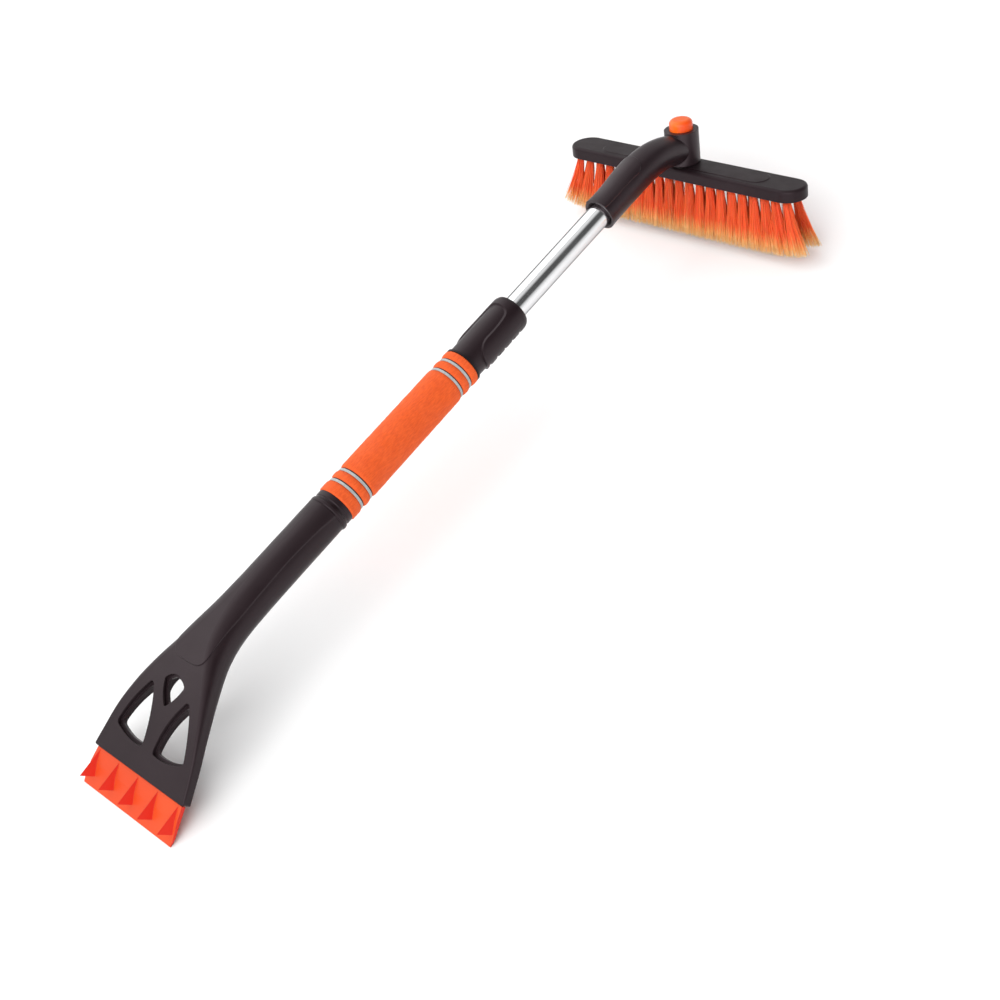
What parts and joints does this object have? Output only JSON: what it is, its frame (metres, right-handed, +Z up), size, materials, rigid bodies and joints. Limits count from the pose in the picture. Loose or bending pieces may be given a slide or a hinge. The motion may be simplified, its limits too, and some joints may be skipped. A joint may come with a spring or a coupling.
{
  "type": "snow brush with ice scraper",
  "caption": "Telescopic car snow brush: straight brush bar on a curved swivelling neck, twist-lock pole, foam grip and a flared handle ending in a toothed ice scraper.",
  "frame": {"origin": "centre of the extended tool's bounding box, on the floor it rests on", "axes": "+Y along the tool from the scraper blade to the brush, +Z up, X along the blade's edge and the brush bar"},
  "size_m": [0.263, 0.723, 0.1058],
  "materials": {
    "black_plastic": "satin, fine moulded grain",
    "blade_plastic": "semi-gloss",
    "button_plastic": "gloss",
    "foam": "matte closed-cell foam",
    "band_grey": "matte",
    "tube_metal": "drawn, bright",
    "hidden_steel": "zinc plated",
    "hidden_nylon": "natural nylon",
    "bristle": "filament bundle, lighter flagged tips"
  },
  "bodies": {
    "handle": {"scraper_handle": "black_plastic", "scraper_blade": "blade_plastic", "lower_collar": "black_plastic", "outer_tube": "tube_metal", "handle_screw": "hidden_steel", "foam_grip": "foam", "grip_band_1": "band_grey", "grip_band_2": "band_grey", "grip_band_3": "band_grey", "grip_band_4": "band_grey", "grip_end_ring": "black_plastic", "lock_sleeve": "hidden_nylon", "collet": "hidden_nylon"},
    "lock_collar": {"lock_collar": "black_plastic"},
    "neck": {"inner_tube": "tube_metal", "guide_bush": "hidden_nylon", "neck_arm": "black_plastic", "neck_screw": "hidden_steel"},
    "brush": {"brush_block": "black_plastic", "index_ring": "hidden_nylon", "pivot_spindle": "hidden_nylon", "pivot_washer": "hidden_steel", "pivot_screw": "hidden_steel", "bristle_row_front": "bristle", "bristle_row_middle": "bristle", "bristle_row_rear": "bristle"},
    "button": {"release_button": "button_plastic", "button_spring": "hidden_steel"}
  },
  "joints": [
    {"name": "telescope", "type": "slide", "parent": "handle", "child": "neck", "axis": [0, -0.9982, -0.0598], "range_m": [0, 0.11]},
    {"name": "lock_twist", "type": "hinge", "parent": "handle", "child": "lock_collar", "pos_m": [0, 0.08686, 0.07745], "axis": [0, 0.9982, 0.0598], "range_deg": [0, 90]},
    {"name": "brush_swivel", "type": "hinge", "parent": "neck", "child": "brush", "pos_m": [0, 0.33909, 0.06146], "axis": [0, 0.2819, 0.9595], "range_deg": [-45, 45]},
    {"name": "button_press", "type": "slide", "parent": "neck", "child": "button", "axis": [0, -0.2819, -0.9595], "range_m": [0, 0.0045], "stiffness_N_per_m": 900, "springref_m": -0.001, "deforming": ["button_spring"]}
  ]
}
